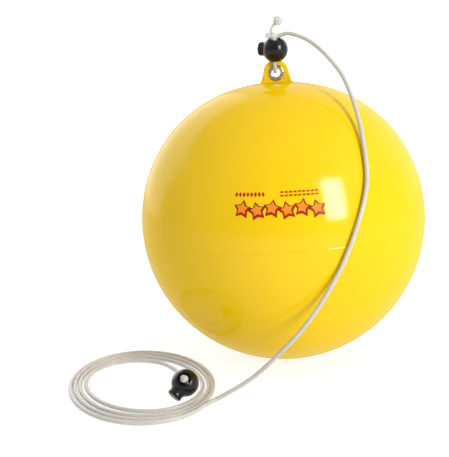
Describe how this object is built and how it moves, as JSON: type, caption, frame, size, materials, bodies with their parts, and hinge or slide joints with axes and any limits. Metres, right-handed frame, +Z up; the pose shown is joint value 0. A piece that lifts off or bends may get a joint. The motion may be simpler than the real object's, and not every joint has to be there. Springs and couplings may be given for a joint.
{
  "type": "tetherball set",
  "caption": "Inflated yellow vinyl ball with a hanging lug and metal eyelet, and an elastic cord with a sprung ball-shaped cord lock at each end, its slack coiled beside it.",
  "frame": {"origin": "on the ground, at the middle of the flat patch that the ball rests on", "axes": "+Z up through the lug and the eyelet; -Y towards the side where the cord runs down the ball and lies coiled"},
  "size_m": [0.2885, 0.2602, 0.2744],
  "materials": {
    "vinyl_yellow": "smooth glossy soft vinyl, slightly translucent at the rim",
    "lock_black": "polished black moulded plastic",
    "cord_cream": "smooth satin elastic cord, ivory",
    "eyelet_nickel": "nickel plated pressed brass",
    "spring_steel": "drawn spring wire",
    "plug_white": "soft matte plastic"
  },
  "bodies": {
    "ball": {"ball_skin": "vinyl_yellow", "hanger_lug": "vinyl_yellow", "eyelet_barrel": "eyelet_nickel", "eyelet_washer": "eyelet_nickel", "cord_arch": "cord_cream", "cord_drop": "cord_cream", "cord_coil": "cord_cream", "cord_end": "cord_cream", "end_knot": "cord_cream", "lower_lock_body": "lock_black", "lower_lock_spring": "spring_steel"},
    "hanger": {"loop_cord": "cord_cream", "joining_knot": "cord_cream", "tail_cord": "cord_cream", "tail_knot": "cord_cream", "upper_lock_body": "lock_black", "upper_lock_spring": "spring_steel"},
    "upper_plunger": {"upper_lock_plunger": "lock_black"},
    "lower_plunger": {"lower_lock_plunger": "lock_black"},
    "plug": {"valve_plug": "plug_white"}
  },
  "joints": [
    {"name": "hanger_swing", "type": "hinge", "parent": "ball", "child": "hanger", "pos_m": [0, 0, 0.2307], "axis": [0, 1, 0], "range_deg": [-60, 60], "deforming": ["cord_arch"]},
    {"name": "upper_lock_press", "type": "slide", "parent": "hanger", "child": "upper_plunger", "axis": [0.9272, -0.3618, -0.097], "range_m": [0, 0.003], "stiffness_N_per_m": 800, "springref_m": -0.003, "deforming": ["upper_lock_spring"]},
    {"name": "lower_lock_press", "type": "slide", "parent": "ball", "child": "lower_plunger", "axis": [0.6211, 0.5409, 0.5672], "range_m": [0, 0.003], "stiffness_N_per_m": 800, "springref_m": -0.003, "deforming": ["lower_lock_spring"]},
    {"name": "valve_pull", "type": "slide", "parent": "ball", "child": "plug", "axis": [0, 0.9394, -0.3429], "range_m": [0, 0.014]}
  ]
}
